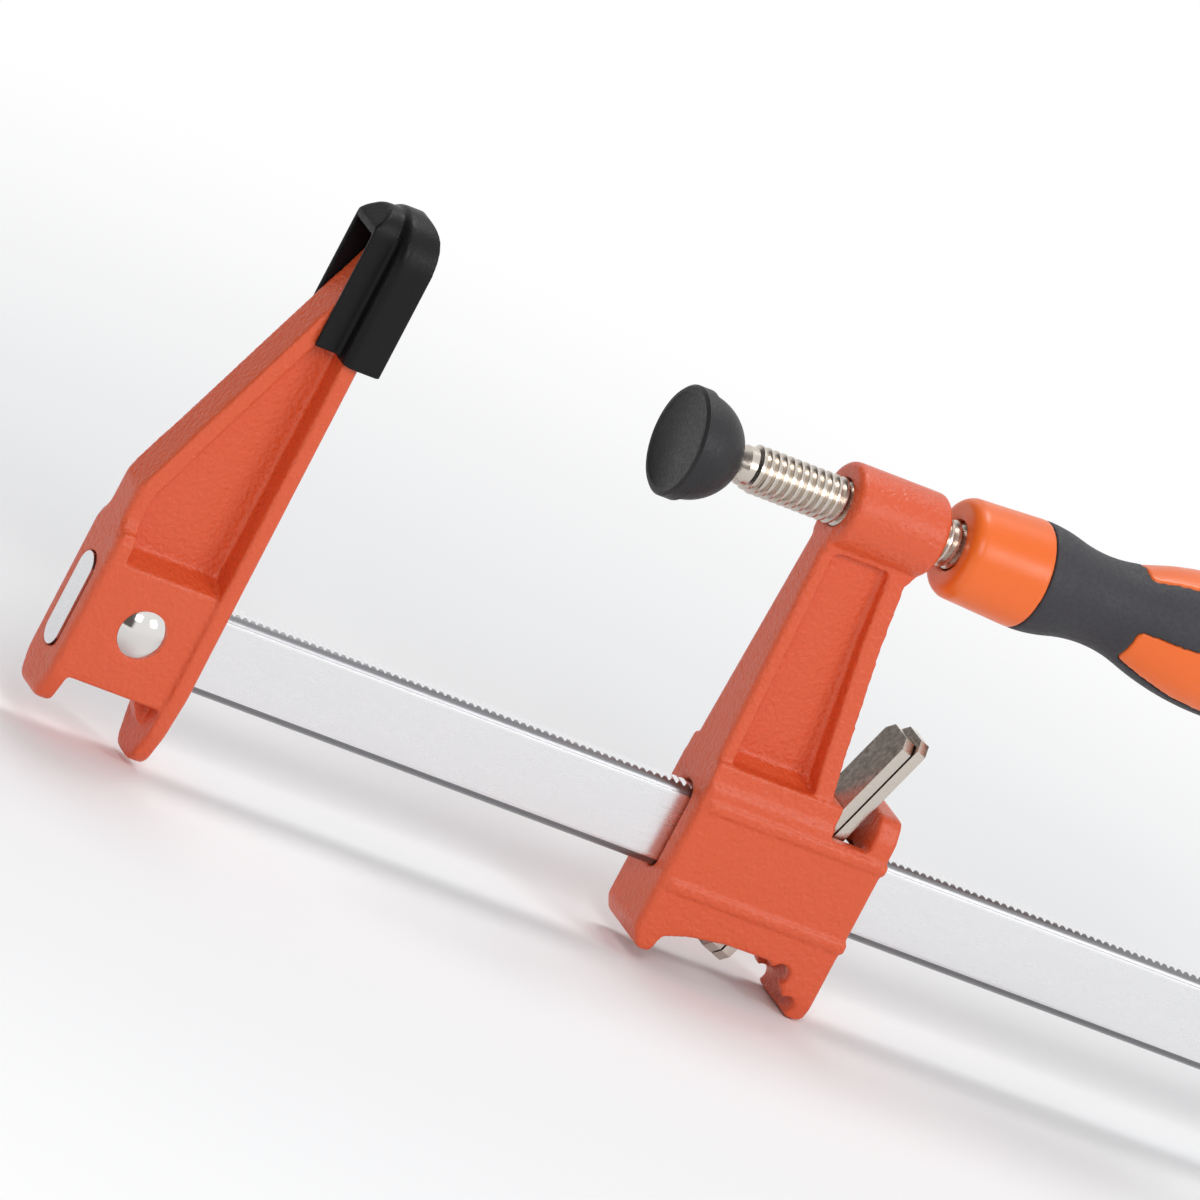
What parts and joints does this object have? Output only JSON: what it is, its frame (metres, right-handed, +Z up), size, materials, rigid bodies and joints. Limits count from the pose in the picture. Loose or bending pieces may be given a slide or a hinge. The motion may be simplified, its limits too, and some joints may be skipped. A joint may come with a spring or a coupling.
{
  "type": "quick release bar clamp",
  "caption": "Bar clamp: a toothed flat bar through a fixed jaw and a sliding jaw with tilting clutch plates, and a screw with a swivel pad turned by a grip handle.",
  "frame": {"origin": "face of the fixed jaw's pad on the axis of the screw", "axes": "+X along the bar from the fixed jaw to the handle, +Z up the jaws away from the bar, +Y across the bar by the right-hand rule"},
  "size_m": [0.425, 0.034, 0.1514],
  "materials": {
    "bar_steel": "bright plated flat steel",
    "plated_steel": "warm nickel plate",
    "spring_steel": "dark spring wire",
    "casting_paint": "orange-red semi-gloss powder coat on a casting",
    "pad_plastic": "fine grained matte black",
    "handle_plastic": "orange moulded plastic",
    "grip_rubber": "soft black grip"
  },
  "bodies": {
    "frame_bar": {"bar": "bar_steel", "bar_stop_pin": "bar_steel", "fixed_jaw": "casting_paint", "fixed_jaw_rivet": "plated_steel", "fixed_jaw_pad": "pad_plastic"},
    "head": {"sliding_jaw": "casting_paint", "clutch_spring": "spring_steel"},
    "clutch": {"clutch_plate_front": "plated_steel", "clutch_plate_rear": "plated_steel"},
    "screw_carrier": {"pad_retaining_ring": "spring_steel"},
    "screw": {"spindle": "plated_steel", "handle_core": "handle_plastic", "handle_grip": "grip_rubber"},
    "pad": {"swivel_pad": "pad_plastic"}
  },
  "joints": [
    {"name": "jaw_slide", "type": "slide", "parent": "frame_bar", "child": "head", "axis": [1, 0, 0], "range_m": [-0.0758, 0.193]},
    {"name": "clutch_release", "type": "hinge", "parent": "head", "child": "clutch", "pos_m": [0.166, 0, -0.0695], "axis": [0, 1, 0], "range_deg": [-8, 0], "stiffness_Nm_per_rad": 0.4, "deforming": ["clutch_spring"]},
    {"name": "screw_feed", "type": "slide", "parent": "head", "child": "screw_carrier", "axis": [1, 0, 0], "range_m": [-0.00537, 0.02687]},
    {"name": "screw_turn", "type": "hinge", "parent": "screw_carrier", "child": "screw", "pos_m": [0.1, 0, 0], "axis": [1, 0, 0], "range_deg": [-900, 4500]},
    {"name": "pad_tilt", "type": "hinge", "parent": "screw_carrier", "child": "pad", "pos_m": [0.0929, 0, 0], "axis": [0, 1, 0], "range_deg": [-6, 6]}
  ],
  "couplings": [
    {"joint": "screw_feed", "follows": "screw_turn", "m_per_rad": 0.00034218}
  ]
}
